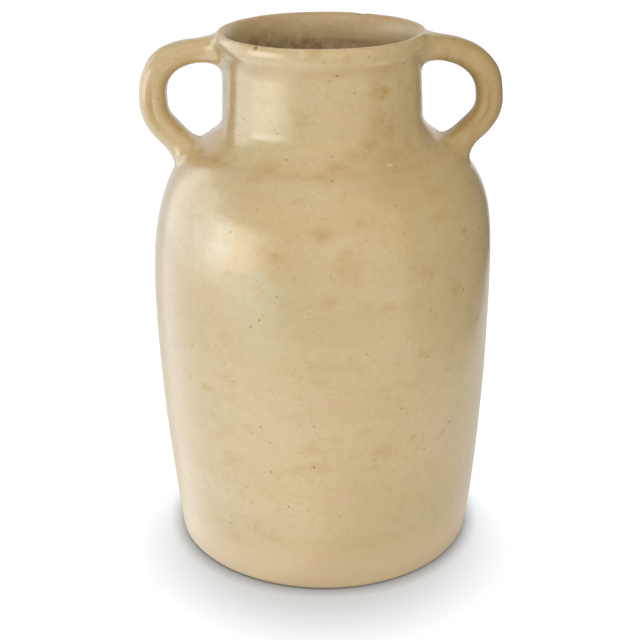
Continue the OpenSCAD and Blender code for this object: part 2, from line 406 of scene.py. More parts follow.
shoulder = (belly, belly + Vector((0, shoulder_pull)), seam + down_slope * shoulder_run, seam)
foot_in = Vector((rebate_r, 0))
foot_out = Vector((foot_r - foot_edge, 0))
foot_side = Vector((foot_r, foot_edge))
rise_count = 84
lower_wall = [belly_line(foot_edge + (belly_z - foot_edge) * i / rise_count) for i in range(rise_count)]
upper_wall = bend(*shoulder, 1.7 * mm, 0, 0.94) + bend(*shoulder, 0.55 * mm, 0.94, 1)
seam_in = seam - square_out * wall_t
key_sides = [seam.lerp(seam_in, share) for share in (2 / 7, 1 / 2, 5 / 7)]
key_sides[1] = key_sides[1] + down_slope * key_depth
inner_line = [belly_line(z * mm) for z in range(22, 150, 3)] + bend(*shoulder, 2.8 * mm) + [seam]
corner_out = belly_line(disc_high.z + corner_r) - Vector((wall_t, 0))
corner_in = Vector((corner_out.x - corner_r, disc_high.z))
corner_eye = Vector((corner_in.x, corner_out.y))
outer_skin = lower_wall + hollow(upper_wall)
body_runs = (
    (straight(foot_in, foot_out, 2 * mm), 0.0),
    (quarter(Vector((foot_out.x, foot_edge)), foot_out, foot_side, 0.8 * mm), 0.0),
    (outer_skin + hollow([seam]), 0.0),
    (key_sides, 1.0),
    (inner_face(inner_line, wall_t), 1.0),
    (quarter(corner_eye, corner_out, corner_in, 1.5 * mm), 1.0),
    ([corner_in, plug_top, plug_foot, disc_step], 1.0),
)

# Sand lead glaze: a honey glaze over a cream slip, dipped on earthenware; it pools and thins in
# clouds, breaks to ochre on edges, and shows iron specks, pinholes and faint throwing lines.
# The upper part is glossy, the lower part fired to a satin.
glaze, shade, in_mm = start_finish("sand_lead_glaze")
axes = add_node(shade, "ShaderNodeSeparateXYZ", {0: in_mm}).outputs
high = axes["Z"]
colour = linear("#CFB684")
clouds = (
    # across in mm, down in mm, where it starts and is full, how much, colour
    (115, 60, 0.42, 0.70, 0.40, "#C4A873"),
    (95, 42, 0.46, 0.74, 0.40, "#D8C498"),
    (64, 52, 0.54, 0.72, 0.30, "#CBC49B"),
    (58, 30, 0.52, 0.72, 0.35, "#D2B28B"),
    (260, 9, 0.50, 0.72, 0.12, "#BEA26E"),
    (260, 15, 0.50, 0.72, 0.16, "#DAC8A2"),
    (22, 14, 0.54, 0.76, 0.44, "#BD9A60"),
    (7, 5.5, 0.50, 0.78, 0.36, "#BA9A62"),
    (2.0, 1.8, 0.45, 0.80, 0.28, "#B09160"),
)
for seed, (across, down, begin, full, amount, tone) in enumerate(clouds):
    stretch = add_node(shade, "ShaderNodeVectorMath",
                       {0: in_mm, 1: (1 / across, 1 / across, 1 / down)}, operation="MULTIPLY")
    cloud = add_node(shade, "ShaderNodeTexNoise",
                     {"Vector": stretch, "W": 7.3 * seed, "Scale": 1.0, "Detail": 3.0, "Roughness": 0.55},
                     noise_dimensions="4D")
    share = add_node(shade, "ShaderNodeMapRange",
                     {"Value": cloud, "From Min": begin, "From Max": full, "To Max": amount},
                     interpolation_type="SMOOTHSTEP")
    colour = add_node(shade, "ShaderNodeMix", {0: share, 6: colour, 7: linear(tone)},
                      data_type="RGBA").outputs[2]
drag = add_node(shade, "ShaderNodeVectorMath", {0: in_mm, 1: (1 / 90, 1 / 90, 1 / 2.6)}, operation="MULTIPLY")
streak = add_node(shade, "ShaderNodeTexNoise",
                  {"Vector": drag, "Scale": 1.0, "Detail": 3.0, "Roughness": 0.6})
lightness = add_node(shade, "ShaderNodeMapRange", {"Value": streak, "From Min": 0.25, "From Max": 0.75,
                                                   "To Min": 0.992, "To Max": 1.008})
colour = add_node(shade, "ShaderNodeHueSaturation", {"Color": colour, "Value": lightness})
# The coats over the ground colour, in order: where each lies and its colour
coats = []
zones = (
    # zone of the mesh, colour, how much of it in the gaps and in the patches
    ("joint", "#B98F52", 0.08, 0.55),
    # thin glaze on the rim's inner edge, darker ochre along the straps' creases, and painted shade under the
    # lip's roll and on the straps' sides that face the loop
    ("thin", "#B58A4C", 0.30, 0.65),
    ("pool", "#C8C29B", 0.10, 0.60),
    ("smear", "#B88E4C", 0.12, 0.80),
    ("handled", "#B0935D", 0.62, 0.85),
    ("pale", "#F3EBDB", 0.15, 1.0),
)
read_zone = {}
for zone in [row[0] for row in zones] + ["inside", "chip"]:
    read_zone[zone] = add_node(shade, "ShaderNodeAttribute", attribute_name=zone).outputs["Fac"]
breakup = add_node(shade, "ShaderNodeTexNoise", {"Vector": in_mm, "Scale": 1 / 6, "Detail": 3.0})
for zone, tone, least, most in zones:
    uneven = add_node(shade, "ShaderNodeMapRange", {"Value": breakup, "From Min": 0.30, "From Max": 0.66,
                                                    "To Min": least, "To Max": most})
    share = add_node(shade, "ShaderNodeMath", {0: read_zone[zone], 1: uneven}, operation="MULTIPLY")
    coats.append((share, linear(tone)))
bumps = add_node(shade, "ShaderNodeMath", {0: streak, 1: 0.03}, operation="MULTIPLY")
lower_more = add_node(shade, "ShaderNodeMapRange", {"Value": high, "From Min": 60.0, "From Max": 215.0,
                                                    "To Min": 1.0, "To Max": 0.75})
speck_edge = 0.35
specks = (
    # spacing in mm, flattening, share of the cells, widest in mm, colour, how much, how deep in mm
    (2.7, 1.0, 0.50, 0.50, "#8C6C40", 0.65, 0.04),
    (4.7, 1.0, 0.55, 0.75, "#5C4327", 0.9, 0.10),
    (7.5, 1.6, 0.50, 0.90, "#957240", 0.55, 0.05),
    (4.4, 1.0, 0.45, 0.60, "#EADDC2", 0.65, -0.03),
)
for spacing, flat, many, wide, tone, amount, deep in specks:
    stretch = add_node(shade, "ShaderNodeVectorMath",
                       {0: in_mm, 1: (1 / spacing, 1 / spacing, flat / spacing)}, operation="MULTIPLY")
    cells = add_node(shade, "ShaderNodeTexVoronoi", {"Vector": stretch, "Scale": 1.0})
    chance = add_node(shade, "ShaderNodeSeparateColor", {0: cells.outputs["Color"]})
    size = add_node(shade, "ShaderNodeMapRange", {"Value": chance, "From Min": 1 - many, "From Max": 1.0,
                                                  "To Max": wide / spacing})
    inward = add_node(shade, "ShaderNodeMath", {0: size, 1: cells}, operation="SUBTRACT")
    speck = add_node(shade, "ShaderNodeMath", {0: inward, 1: speck_edge / spacing}, operation="DIVIDE",
                     use_clamp=True)
    shown = add_node(shade, "ShaderNodeMath", {0: speck, 1: lower_more}, operation="MULTIPLY")
    share = add_node(shade, "ShaderNodeMath", {0: shown, 1: amount}, operation="MULTIPLY")
    coats.append((share, linear(tone)))
    pit = add_node(shade, "ShaderNodeMath", {0: shown, 1: deep}, operation="MULTIPLY")
    bumps = add_node(shade, "ShaderNodeMath", {0: bumps, 1: pit}, operation="SUBTRACT")
# The brown wash inside the neck ends in an uneven tide line about 13 mm under the crest, and it ran
# down the wall in short drips
tide = add_node(shade, "ShaderNodeTexNoise",
                {"Vector": in_mm, "Scale": 1 / 11, "Detail": 6.0, "Roughness": 0.65})
tide_z = add_node(shade, "ShaderNodeMapRange", {"Value": tide, "To Min": 277.0, "To Max": 296.0})
tide_lean = add_node(shade, "ShaderNodeMath", {0: axes["X"], 1: -0.07, 2: tide_z}, operation="MULTIPLY_ADD")
under = add_node(shade, "ShaderNodeMath", {0: tide_lean, 1: high}, operation="SUBTRACT")
washed = add_node(shade, "ShaderNodeMapRange", {"Value": under, "From Min": -2.5, "From Max": 5.0})
wash = add_node(shade, "ShaderNodeMath", {0: washed, 1: read_zone["inside"]}, operation="MULTIPLY")
drip = add_node(shade, "ShaderNodeVectorMath", {0: in_mm, 1: (1 / 6, 1 / 6, 1 / 7)}, operation="MULTIPLY")
drips = add_node(shade, "ShaderNodeTexNoise",
                 {"Vector": drip, "Scale": 1.0, "Detail": 5.0, "Roughness": 0.7})
drip_share = add_node(shade, "ShaderNodeMapRange", {"Value": drips, "From Min": 0.36, "From Max": 0.64})
wash_tone = add_node(shade, "ShaderNodeMix",
                     {0: drip_share, 6: linear("#98794F"), 7: linear("#D2B88E")}, data_type="RGBA")
stained = add_node(shade, "ShaderNodeMapRange", {"Value": drips, "From Min": 0.40, "From Max": 0.62,
                                                 "To Min": 0.30, "To Max": 0.0})
stain = add_node(shade, "ShaderNodeMath", {0: stained, 1: read_zone["inside"]}, operation="MULTIPLY")
# Towards the foot the glaze is painted paler: painted light that lifts the shade of the shadowed
# floor there, which bounces less light up. Where the foot was wiped, and in chips, the clay shows
painted_foot_light = add_node(shade, "ShaderNodeMapRange",
                {"Value": high, "From Min": 34.0, "From Max": 3.0, "To Max": 0.8})
foot_clay = add_node(shade, "ShaderNodeMapRange", {"Value": high, "From Min": 1.2, "From Max": 0.5})
coats += [
    (stain, linear("#B39468")),
    (wash, wash_tone.outputs[2]),
    # painted light: paler, creamier glaze towards the foot
    (painted_foot_light, linear("#EACFA2")),
    (foot_clay, linear("#C4A378")),
    (read_zone["chip"], linear("#7A5635")),
]
for share, tone in coats:
    colour = add_node(shade, "ShaderNodeMix", {0: share, 6: colour, 7: tone}, data_type="RGBA").outputs[2]
# The darkened straps and the wash dull the gloss, and the surface has a slight peel like that of an orange
gloss = add_node(shade, "ShaderNodeMapRange", {"Value": high, "From Min": 90.0, "From Max": 230.0,
                                               "To Min": 0.36, "To Max": 0.22})
peel = add_node(shade, "ShaderNodeTexNoise", {"Vector": in_mm, "Scale": 1 / 5, "Detail": 2.0})
peel_dull = add_node(shade, "ShaderNodeMapRange", {"Value": peel, "To Min": -0.04, "To Max": 0.04})
dull = add_node(shade, "ShaderNodeMath", {0: gloss, 1: peel_dull}, operation="ADD")
for zone, duller in (("handled", 0.2), ("inside", 0.15)):
    dull = add_node(shade, "ShaderNodeMath",
                    {0: read_zone[zone], 1: duller, 2: dull}, operation="MULTIPLY_ADD")
bare = add_node(shade, "ShaderNodeMath", {0: foot_clay, 1: read_zone["chip"]}, operation="MAXIMUM")
rough = add_node(shade, "ShaderNodeMix", {0: bare, 2: dull, 3: 0.85}, data_type="FLOAT")
peel_depth = add_node(shade, "ShaderNodeMapRange", {"Value": wash, "To Min": 0.12, "To Max": 0.5})
peel_bump = add_node(shade, "ShaderNodeMath", {0: peel, 1: peel_depth}, operation="MULTIPLY")
bumps = add_node(shade, "ShaderNodeMath", {0: bumps, 1: peel_bump}, operation="ADD")
relief = add_node(shade, "ShaderNodeBump", {"Height": bumps, "Distance": 1 * mm, "Strength": 0.7})
surface = add_node(shade, "ShaderNodeBsdfPrincipled",
                   {"Base Color": colour, "Roughness": rough, "IOR": 1.55, "Normal": relief})
add_node(shade, "ShaderNodeOutputMaterial", {"Surface": surface})


def skin_r(z):
    """The outer radius of the turned pieces at a height."""
    for a, b in zip(outer_skin, outer_skin[1:]):
        if a.y <= z <= b.y and b.y > a.y:
            return a.x + (b.x - a.x) * (z - a.y) / (b.y - a.y)
    return outer_skin[-1].x if z > outer_skin[-1].y else outer_skin[0].x


def throw(name, node, runs, settings, marks, **zones):
    """Turns a glazed piece, with its marks on its skin and its zones: how much, how far, round what."""
    points = []
    for angle, z in [mark[:2] for mark in marks]:
        r = skin_r(z * mm)
        turned = math.radians(angle)
        points.append((r * math.sin(turned), -r * math.cos(turned), z * mm))
    values = {}
    for place, trait in enumerate(traits):
        unit = mm if trait in ("reach", "bite") else 1.0
        values[trait] = [(*mark, 0, 0, 0)[2 + place] * unit for mark in marks]
    cloud = sketch(name + "_marks", points, **values)
    for zone, (most, reach, *places) in zones.items():
        zones[zone] = [most * share for share in near(points_of(runs), reach, *places)]
    drawn = section(name + "_section", runs, **zones)
    model(drawn, turning, name, node, {**settings, "Marks": cloud, "Finish": glaze})
    bpy.data.objects.remove(cloud)


body_marks = (
    # angle in degrees, height and reach in mm, flattening, bite in mm, shares of chip, smear, pale, pool
    (-1, 214, 9, 1.3, 0, 0, 0.9),
    (-15.5, 203, 3.5, 1.2, 0.05, 0, 1.0),
    (-22, 206, 3.5, 1.5, 0, 0, 0.5),
    (7, 197, 14, 0.8, 0, 0, 0.45),
    (3, 181, 13, 3.2, 0, 0, 0.6),
    (34, 189, 9, 2, 0, 0, 0.55),
    (52.6, 204, 4, 1.2, 0, 0, 0.7),
    (20, 175, 7, 1.6, 0, 0, 0.6),
    (42, 215, 7, 2, 0, 0, 0.4),
    (-65, 237, 9, 1.5, 0, 0, 0.6),
    (-41, 121, 8, 2.6, 0, 0, 0.8),
    (-50, 123, 4.5, 0.7, 0, 0, 0.7),
    (-32, 119, 6, 1.8, 0, 0, 0.5),
    (-4, 146, 7, 3, 0, 0, 0.6),
    (-1, 135, 8, 2.2, 0, 0, 0.5),
    (11.5, 140, 6, 2, 0, 0, 0.5),
    (-4, 96, 9, 1.5, 0, 0, 0.6),
    (-1, 84, 10, 1.5, 0, 0, 0.85),
    (20, 90, 9, 1.4, 0, 0, 0.8),
    (30.5, 95, 4, 1.2, 0, 0, 0.8),
    (15.6, 81, 8, 2.2, 0, 0, 0.6),
    (74.5, 193, 2.3, 0.5, 0.3, 0.8, 0),
    (74.5, 186.5, 2.6, 0.5, 0.3, 0.8, 0),
    (-40, 206, 27, 0.9, 0, 0, 0, 0.2, 0.8),
    (-21, 180, 30, 0.7, 0, 0, 0, 0, 1.0),
    (-19, 160, 24, 0.8, 0, 0, 0, 0, 0.8),
    (120, 170, 13, 1.6, 0, 0, 0.6),
    (165, 110, 11, 1.8, 0, 0, 0.7),
    (-150, 190, 9, 1.6, 0, 0, 0.6),
    (-110, 60, 12, 2, 0, 0, 0.6),
    (-160, 215, 8, 1.4, 0, 0, 0.8),
)
throw("thrown_body", "body_wall", body_runs, {"Around": 320, "Ring Pitch": 9 * mm}, body_marks,
      joint=(1.0, finger_r, seam), held=(1.0, held_r, seam, seam_in))

# Neck collar
# The neck, thrown apart, trimmed, and set on the shoulder with a V-shaped key that grips in a groove
# of the body. It flares out at the bottom to meet the shoulder and again inside, at the mouth.
collar_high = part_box("neck_collar")[1]
lip_low, lip_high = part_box("rolled_lip")
neck_r = 54.2 * mm
neck_taper = 1.2 * mm
neck_t = 6 * mm
flare_h = 17.9 * mm
flare_run = 11 * mm
flare_drop = 9 * mm
crest_out = 1.2 * mm
mouth_h = 16 * mm
bore_r = neck_r - neck_t
crest = Vector((neck_r + crest_out, lip_high.z))
mouth_eye = Vector((crest.x, crest.y - mouth_h))
bore_top = Vector((bore_r, mouth_eye.y))
mouth_turn = math.acos((collar_high.z - mouth_eye.y) / mouth_h) / (math.pi / 2)
neck_base = Vector((neck_r + neck_taper, seam_z + flare_h))
neck_top = Vector((neck_r + 0.15 * mm, lip_low.z - 9 * mm))
lip_start = Vector((neck_r + 1.45 * mm, lip_low.z))
lip_lead = Vector((0.95, 1.8)) * mm
collar_top = Vector((neck_r, collar_high.z))
bore_base = Vector((bore_r, neck_base.y))
flare = (seam, seam - down_slope * flare_run, neck_base - Vector((0, flare_drop)), neck_base)
flare_skin = bend(*flare, 0.5 * mm, 0, 0.12) + bend(*flare, 1.1 * mm, 0.12, 1)
under_lip = bend(neck_top, neck_top + Vector((0, 3.5 * mm)), lip_start - lip_lead * 1.3, lip_start, 0.6 * mm)
neck_skin = hollow(flare_skin) + straight(neck_base, neck_top, 1.1 * mm) + under_lip
inner_flare = (bore_base, bore_base - Vector((0, flare_drop)), seam_in - down_slope * 9 * mm, seam_in)
mouth_inner = quarter(mouth_eye, crest, bore_top, 1 * mm, mouth_turn, 1)
lip_edge = mouth_inner[0]
collar_runs = (
    (key_sides[::-1], 1.0),
    (neck_skin + [lip_start], 0.0),
    ([collar_top], 1.0),
    (mouth_inner, 1.0),
    (straight(bore_top, bore_base, 1.6 * mm), 1.0),
    (bend(*inner_flare, 1.6 * mm) + [seam_in], 1.0),
)
outer_skin = outer_skin + neck_skin
neck_marks = (
    # the same columns as on the body
    (8.5, 286.2, 1.2, 1, 0.1, 0.8, 0),
    (4.4, 283.3, 1.2, 1, 0.1, 0.8, 0),
    (17.8, 277.2, 1.0, 1, 0.08, 0.7, 0),
    (38.5, 260, 1.3, 0.8, 0.08, 0.6, 0),
    (-36, 286.2, 1.0, 1, 0.08, 0.6, 0),
    (-19.6, 258, 1.0, 1, 0.08, 0.7, 0),
    (35, 275, 7, 1.4, 0, 0, 0.9),
    (24, 250, 9, 2, 0, 0, 0.7),
    (73, 283, 2.0, 0.4, 0.1, 0, 0, 0.9),
    (74, 268, 1.6, 1, 0.2, 0.9, 0),
    (31, 240.5, 2.8, 3, 0.1, 0, 0, 0.8),
    (-25, 240.6, 9, 1.5, 0, 0, 0.7),
    (6, 241, 12, 2.6, 0, 0, 0.8),
    (33, 262, 7, 1.4, 0, 0, 0.6),
    (16, 246, 9, 1.8, 0, 0, 0.5),
    (38, 256, 9, 1.2, 0, 0, 0.6),
    (140, 265, 7, 1.5, 0, 0, 0.6),
    (-160, 275, 6, 1.5, 0, 0, 0.6),
)
# A darker ochre band in the hollow under the roll is painted shade, in the same zone as the rim's thin edge
under_roll = lip_start - Vector((0, 2.5 * mm))
throw("thrown_neck", "neck_collar", collar_runs, {"Around": 420, "Ring Pitch": 7 * mm}, neck_marks,
      thin=(0.5, 5 * mm, under_roll), joint=(1.0, finger_r, seam),
      held=(1.0, held_r, seam, seam_in, lip_start, lip_edge))

# Rolled lip
# A coil of clay turned over the top of the neck and smoothed with a wet leather into a round roll.
# It runs out of the neck in a soft hollow, and use has chipped it in a few places.
lip_crown = 4.5 * mm
lip_wide = Vector((lip_high.x - 0.3 * mm, lip_high.z - lip_crown))
lip_runs = (
    (bend(lip_start, lip_start + lip_lead, lip_wide - Vector((0, 1.9 * mm)), lip_wide, 0.6 * mm), 0.0),
    (quarter(Vector((crest.x, lip_wide.y)), lip_wide, crest, 0.6 * mm), 0.0),
    (quarter(mouth_eye, crest, bore_top, 0.7 * mm, 0, mouth_turn), 1.0),
    ([lip_edge, collar_top], 1.0),
)
outer_skin = outer_skin + points_of(lip_runs[:2]) + [crest]
lip_marks = (
    # the same columns as on the body
    (-36, 299.2, 1.7, 1, 0.6, 1.0, 0),
    (-10, 297.6, 2.6, 0.7, 0.3, 0, 0, 1.0),
    (13, 296, 5, 1.5, 0, 0, 1.0),
    (-3, 298, 6, 1.5, 0, 0, 0.7),
    (-44, 297, 6, 1.4, 0, 0, 0.7),
    (155.5, 299.6, 4.6, 1.4, 0.5, 1.0, 0.3),
    (-120, 299.0, 1.8, 1, 0.5, 0.8, 0.2),
    (74, 298.6, 1.4, 1, 0.4, 0.6, 0.2),
)
inner_edge = Vector((crest.x - 1.6 * mm, crest.y - 0.3 * mm))
throw("rolled_rim", "rolled_lip", lip_runs, {"Around": 480, "Ring Pitch": 6 * mm, "Inner Ring": 0.15 * mm},
      lip_marks, thin=(1.0, 3 * mm, inner_edge), held=(1.0, held_r, lip_start, lip_edge))

# Handles
# Two straps pulled from one lump of wet clay and bent by hand, so no two have quite the same bow. Each
# is rounded across, with a lengthwise crease that the thumb left on its sides below the bow.
strap_t = 15.4 * mm
strap_w = 19 * mm
squareness = 2.5
ring_count = 96
crease_depth = 1.3 * mm
crease_w = 1.7 * mm
neck_bury = 1.2 * mm
shoulder_bury = 3.5 * mm
both_sides = (("left", -1), ("right", 1))
# How far each strap is darkened and dulled
strap_darkening = {"left": 0.12, "right": 1.1}
# Where the middle line of each strap leaves the neck, close to the lower edge of the lip
upper_roots = {
    "left": Vector((neck_r, lip_low.z - 0.5 * mm)),
    "right": Vector((neck_r, lip_low.z + 0.1 * mm)),
}
# The girth of each strap at the neck, and the share of its length where it is full
root_girth = {"left": (0.82, 0.42), "right": (0.88, 0.50)}
bends = {
    # bow out from the axis, its height, lower end out on the shoulder, four pulls of the curves in mm,
    # and how much it slims
    "left": (93.15, 261.9, 8.7, 27.9, 21.4, 12.9, 12.4, 0.0),
    "right": (92.0, 262.6, 5.0, 27.2, 17.8, 13.5, 11.8, 0.09),
}
# Shares of the length between which the strap slims, the thumb begins and ends, and the grip does
slimming = (0.3, 0.85)
thumb_on, thumb_off = (0.44, 0.60), (0.66, 0.83)
grip_on, grip_off = (0.18, 0.36), (0.66, 0.82)


def strap_line(side):
    """The middle line of a strap, from inside the neck over the bow to inside the shoulder."""
    lengths = [length * mm for length in bends[side][:-1]]
    bow_out, bow_z, root_out, upper_run, upper_turn, lower_turn, lower_run = lengths
    bow = Vector((bow_out, bow_z))
    upper_root = upper_roots[side]
    lower_root = seam + down_slope * root_out
    over = bend(upper_root, upper_root + Vector((upper_run, 0)), bow + Vector((0, upper_turn)), bow, 1 * mm)
    under = bend(bow, bow - Vector((0, lower_turn)), lower_root + square_out * lower_run, lower_root, 1 * mm)
    start = straight(upper_root - Vector((neck_bury, 0)), upper_root, 0.6 * mm)
    end = straight(lower_root, lower_root - square_out * shoulder_bury, 1 * mm)
    return start + over + under + end


def strap_ring():
    """The strap's rounded section: across its width, then through its thickness, out from the vase."""
    ring = []
    for i in range(ring_count):
        c = math.cos(2 * math.pi * i / ring_count)
        s = math.sin(2 * math.pi * i / ring_count)
        across = math.copysign(abs(c) ** (2 / squareness), c) * strap_w / 2
        through = math.copysign(abs(s) ** (2 / squareness), s) * strap_t / 2
        ring.append(Vector((across, through)))
    return ring


def ease(value, begin, full):
    """A smooth step from 0 to 1 between two values."""
    t = min(1.0, max(0.0, (value - begin) / (full - begin)))
    return t * t * (3 - 2 * t)


# The tree sweeps the ring along a strap's line, lets it swell under the hand, and presses the crease in
pulling, given = start_tree("pulled_strap", (
    ("Line", "Geometry", None),
    ("Ring", "Object", None),
    ("Sideways", "Vector", None),
    ("Crease Depth", "Float", None),
    ("Darkening", "Float", None),
    ("Finish", "Material", None),
))
zone_of = {}
for zone in ("girth", "thumbed", "groove", "loose", "loop_side"):
    zone_of[zone] = add_node(pulling, "GeometryNodeInputNamedAttribute", {"Name": zone}, data_type="FLOAT")
line = add_node(pulling, "GeometryNodeMeshToCurve", {"Mesh": given["Line"]})
level = add_node(pulling, "GeometryNodeSetCurveNormal", {"Curve": line, "Normal": given["Sideways"]},
                 mode="FREE")
ring = add_node(pulling, "GeometryNodeObjectInfo", {"Object": given["Ring"]}).outputs["Geometry"]
ring_line = add_node(pulling, "GeometryNodeMeshToCurve", {"Mesh": ring})
swept = add_node(pulling, "GeometryNodeCurveToMesh",
                 {"Curve": level, "Profile Curve": ring_line, "Scale": zone_of["girth"], "Fill Caps": True})
welded = add_node(pulling, "GeometryNodeMergeByDistance", {"Geometry": swept, "Distance": weld})
facing = add_node(pulling, "GeometryNodeInputNormal")
where = add_node(pulling, "GeometryNodeInputPosition")
hand = add_node(pulling, "ShaderNodeTexNoise", {"Vector": where, "Scale": 62.0, "Detail": 1.0})
grip = add_node(pulling, "ShaderNodeMapRange", {"Value": hand, "To Min": -0.9 * mm, "To Max": 0.9 * mm})
free_grip = add_node(pulling, "ShaderNodeMath", {0: grip, 1: zone_of["loose"]}, operation="MULTIPLY")
crease = add_node(pulling, "ShaderNodeMath",
                  {0: zone_of["thumbed"], 1: zone_of["groove"]}, operation="MULTIPLY")
dent = add_node(pulling, "ShaderNodeMath", {0: crease, 1: given["Crease Depth"]}, operation="MULTIPLY")
press = add_node(pulling, "ShaderNodeMath", {0: free_grip, 1: dent}, operation="SUBTRACT")
move = add_node(pulling, "ShaderNodeVectorMath", {0: facing, "Scale": press}, operation="SCALE")
# The crease is coloured darker ochre, and the side of the strap that faces the loop gets painted shade
dark_crease_and_loop_shade = add_node(pulling, "ShaderNodeMath", {0: crease, 1: zone_of["loop_side"]}, operation="MAXIMUM")
end_tree(pulling, welded, {"thin": dark_crease_and_loop_shade, "handled": given["Darkening"]}, move, given["Finish"])

ring_points = strap_ring()
ring_object = sketch(
    "strap_ring", [(p.x, p.y, 0) for p in ring_points],
    [(i, (i + 1) % ring_count) for i in range(ring_count)],
    groove=[math.exp(-(p.y / crease_w) ** 2) for p in ring_points],
    # painted shade on the side of the ring that faces the loop
    loop_side=[0.8 * max(0.0, -p.y / (strap_t / 2)) ** 2.5 for p in ring_points],
)
girths = {}
for side, sign in both_sides:
    points = strap_line(side)
    last = len(points) - 1
    shares = [i / last for i in range(last + 1)]
    slim = bends[side][-1]
    thin_root, full_by = root_girth[side]
    girths[side] = []
    for s in shares:
        rooted = 1 - (1 - thin_root) * (1 - ease(s, 0.05, full_by))
        girths[side].append((1 - slim * ease(s, *slimming)) * rooted)
    strap = sketch(
        side + "_strap_line", [(sign * p.x, 0, p.y) for p in points], [(i, i + 1) for i in range(last)],
        thumbed=[ease(s, *thumb_on) * (1 - ease(s, *thumb_off)) for s in shares],
        loose=[ease(s, *grip_on) * (1 - ease(s, *grip_off)) for s in shares],
        girth=girths[side],
    )
    model(strap, pulling, side + "_pulled_strap", side + "_handle",
          {"Ring": ring_object, "Sideways": (0, sign, 0), "Crease Depth": crease_depth,
           "Darkening": strap_darkening[side], "Finish": glaze})
bpy.data.objects.remove(ring_object)

# Luting
# Soft clay worked round both ends of each strap with a wet finger, so that the strap runs out into the
# wall in a smooth hollow fillet with no line round it.
filler = 1.2 * mm
strap_lap = 0.04 * mm
wall_lap = 0.05 * mm
lead_share = 0.55
fillet_rows = 22
search = 30 * mm
halvings = 40
luting = {
    # reach along the strap, then the spread on the wall beside the strap and above or below it, in mm
    "left_upper": (15, 11, 9),
    "left_lower": (11, 13, 4.5),
    "right_upper": (13, 10, 7.5),
    "right_lower": (11, 12, 6.5),
}
# Shares of the spread at which the fillet's guide points lie on the wall, and how far below the crest
# they stay, next to the strap and less so further out
landing_shares = (0.0, 0.2, 0.6, 1.0)
crest_gap = 2.8 * mm
crest_climb = 2.3 * mm


def on_wall(p, out):
    """The place where a line through p, in the direction out, meets the outer skin."""
    far, close = search, -search
    for halving in range(halvings):
        middle = (far + close) / 2
        q = p + out * middle
        if math.hypot(q.x, q.y) > skin_r(q.z) or q.z > crest.y:
            far = middle
        else:
            close = middle
    return p + out * far


def lute(side, sign, upper):
    """A closed ring of clay between a strap and the wall, hollow outside and filled inside."""
    name = side + ("_upper" if upper else "_lower")
    length, beside, across = [reach * mm for reach in luting[name]]
    line = strap_line(side)
    wall_end = upper_roots[side] if upper else seam + down_slope * bends[side][2] * mm
    order = line if upper else line[::-1]
    grown = girths[side] if upper else girths[side][::-1]
    first = min(range(len(order)), key=lambda i: (order[i] - wall_end).length)
    station = first
    while (order[station] - wall_end).length < length:
        station += 1
    turn_in = 1 if upper else -1

    def in_space(p):
        return Vector((sign * p.x, 0, p.y))

    def square_to(p):
        return Vector((-sign * p.y * turn_in, 0, p.x * turn_in))

    out_2d = (order[first + 2] - order[first]).normalized()
    along_2d = (order[station + 1] - order[station - 1]).normalized()
    out, along = in_space(out_2d), in_space(along_2d)
    root, centre = in_space(wall_end), in_space(order[station])
    through_root, through_strap = square_to(out_2d), square_to(along_2d)
    width = Vector((0, 1, 0))
    corners = []
    for p in strap_ring():
        strap_dir = (width * p.x + through_strap * p.y) * grown[station]
        begin = centre + strap_dir * (1 - strap_lap / strap_dir.length)
        flat = (width * p.x + through_root * p.y) * grown[first]
        sideways = abs(p.x) / p.length
        spread = (across + (beside - across) * sideways ** 2) / flat.length
        landings = []
        for part in landing_shares:
            landing = root + flat * (1 + spread * part)
            landing.z = min(landing.z, crest.y - (crest_gap - crest_climb * part))
            landings.append(on_wall(landing, out))
        foot, knee, toe, end = landings
        inward = Vector((-end.x, -end.y, 0)).normalized()
        end = end + inward * wall_lap
        lead = begin - along * (foot - begin).length * lead_share
        for i in range(fillet_rows):
            t = i / (fillet_rows - 1)
            s = 1 - t
            corners.append(begin * s ** 4 + lead * (4 * s ** 3 * t) + knee * (6 * s * s * t * t)
                           + toe * (4 * s * t ** 3) + end * t ** 4)
        corners.append(end + inward * filler)
        corners.append(foot + inward * filler - flat.normalized() * filler)
        corners.append(begin - strap_dir.normalized() * filler)
    lap = fillet_rows + 3
    faces = []
    darkened_share = []
    for i in range(ring_count):
        here = i * lap
        after = (i + 1) % ring_count * lap
        for j in range(lap):
            up = (j + 1) % lap
            faces.append((here + j, here + up, after + up, after + j))
            darkened_share.append(strap_darkening[side] * (1 - min(1, j / (fillet_rows - 1))))
    worked = sketch(name + "_worked", corners, faces=faces, handled=darkened_share)
    worked.data.materials.append(glaze)
    fire(worked, name + "_smear", name + "_luting")


for side, sign in both_sides:
    lute(side, sign, True)
    lute(side, sign, False)

# Studio
# A wide white floor in a white room, with soft lamps in front, above and behind that leave no gloss.
# Three reflectors on the left show only as gloss, a grey flag on the right only darkens what the glaze
# mirrors, and the floor's own glow is dimmed in the corner under the foot, a painted contact shadow.
white = linear("#FFFFFF")
floor = sketch("floor", [(-7, -5, 0), (7, -5, 0), (7, 9, 0), (-7, 9, 0)], faces=[(0, 1, 2, 3)])


def background_level(tree, unseen, seen):
    """One strength for rays from the camera, in gloss or through glass, and another for all the rest."""
    ray = add_node(tree, "ShaderNodeLightPath").outputs
    direct = ray["Is Camera Ray"]
    for kind in ("Is Glossy Ray", "Is Transmission Ray"):
        direct = add_node(tree, "ShaderNodeMath", {0: direct, 1: ray[kind]}, operation="MAXIMUM")
    return add_node(tree, "ShaderNodeMapRange", {"Value": direct, "To Min": unseen, "To Max": seen})


